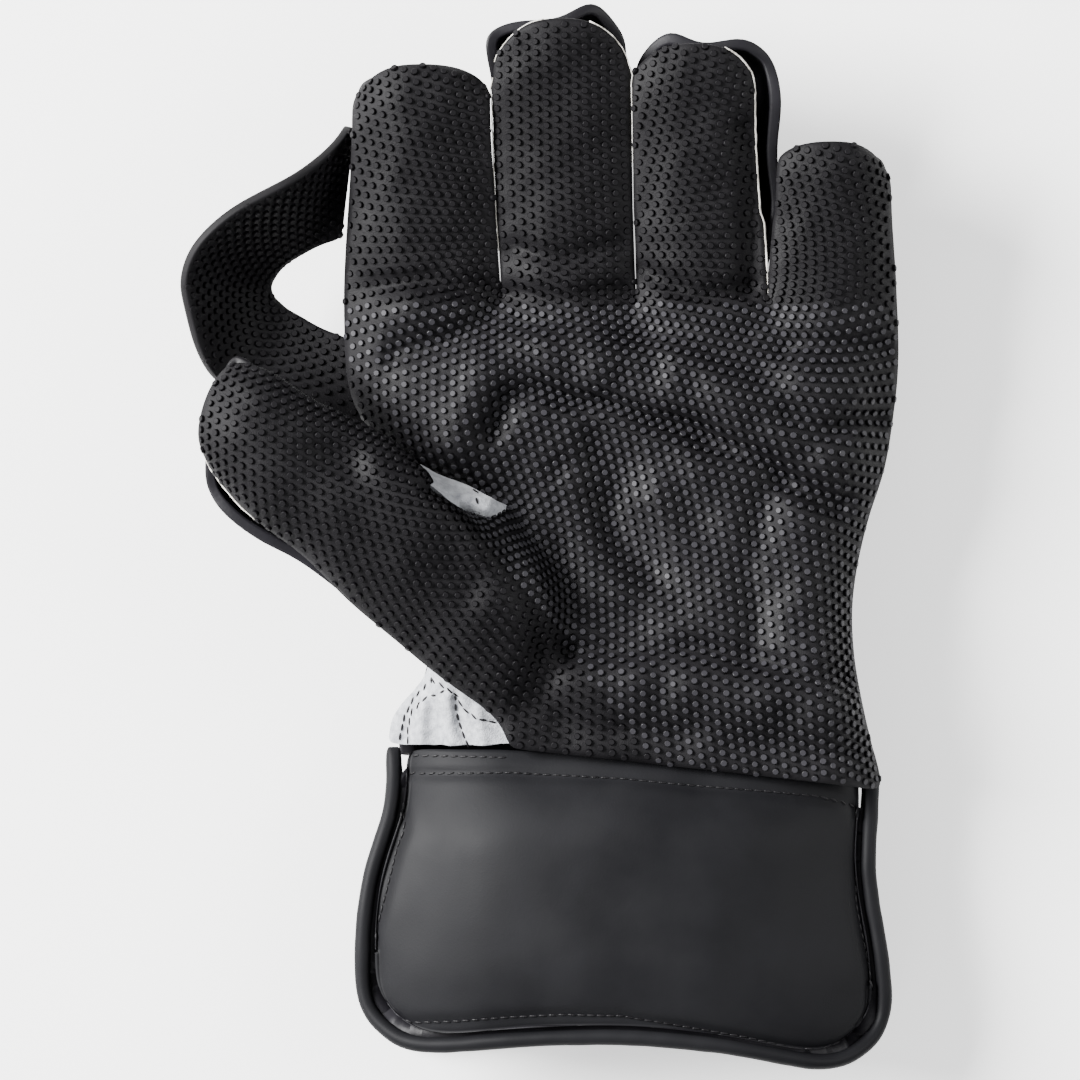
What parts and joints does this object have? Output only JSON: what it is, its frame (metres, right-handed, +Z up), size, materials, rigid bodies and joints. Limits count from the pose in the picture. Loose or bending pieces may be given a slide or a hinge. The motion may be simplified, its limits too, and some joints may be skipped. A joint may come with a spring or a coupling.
{
  "type": "wicketkeeping glove",
  "caption": "Left wicketkeeping glove lying palm up: pimpled rubber palm and fingers, bowl web beside the thumb, leather back and padded gauntlet cuff.",
  "frame": {"origin": "centre of the bounding box's bottom face, on the surface that the glove's back lies on", "axes": "+Z up out of the palm, +Y towards the fingertips, +X towards the little finger's side; the thumb points to -X"},
  "size_m": [0.2018, 0.2986, 0.0708],
  "materials": {
    "pimpled_rubber": "satin black rubber",
    "leather": "satin black leather",
    "cuff_leather": "satin charcoal leather",
    "piping": "satin black leather",
    "suede": "matt pale grey suede"
  },
  "bodies": {
    "root": {"palm_facing": "pimpled_rubber", "index_stall": "leather", "middle_stall": "leather", "ring_stall": "leather", "little_stall": "leather", "thumb_stall": "leather", "thumb_root": "leather", "hand_back": "leather", "web": "pimpled_rubber", "wrist_gusset": "suede", "fork_gusset": "suede", "cuff_front": "cuff_leather", "cuff_back": "cuff_leather", "cuff_front_piping": "piping", "cuff_back_piping": "piping", "cuff_thumb_gusset": "leather", "cuff_little_gusset": "leather"}
  },
  "joints": []
}
